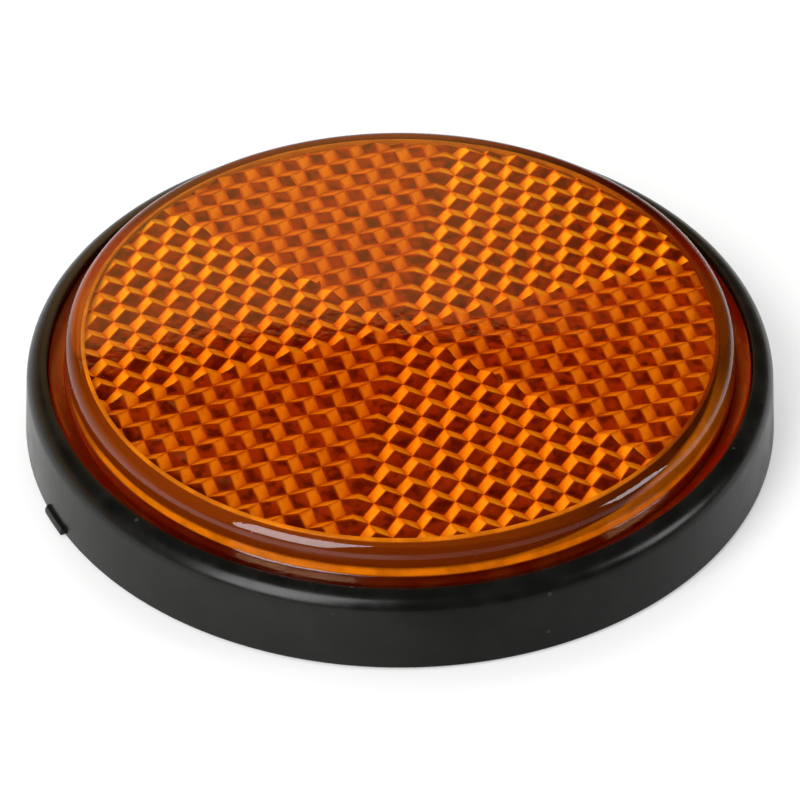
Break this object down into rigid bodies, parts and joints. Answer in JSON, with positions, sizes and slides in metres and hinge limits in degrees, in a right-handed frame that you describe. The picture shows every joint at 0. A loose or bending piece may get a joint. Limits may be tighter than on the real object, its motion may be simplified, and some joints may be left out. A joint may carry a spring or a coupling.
{
  "type": "reflector",
  "caption": "Round amber reflector: a slightly domed clear lens with cube-corner prisms behind its face, seated in a black moulded cup with an adhesive foam pad on its flat back.",
  "frame": {"origin": "centre of the round foot, on the plane of the flat back", "axes": "+Z along the axis of the reflector out of the lens, -Y towards the viewer of the picture, +X to the viewer's right"},
  "size_m": [0.06, 0.06, 0.01],
  "materials": {
    "black_plastic": "satin",
    "amber_plastic": "polished, clear amber",
    "foam": "closed-cell foam"
  },
  "bodies": {
    "root": {"housing": "black_plastic", "lens": "amber_plastic", "adhesive_pad": "foam"}
  },
  "joints": []
}
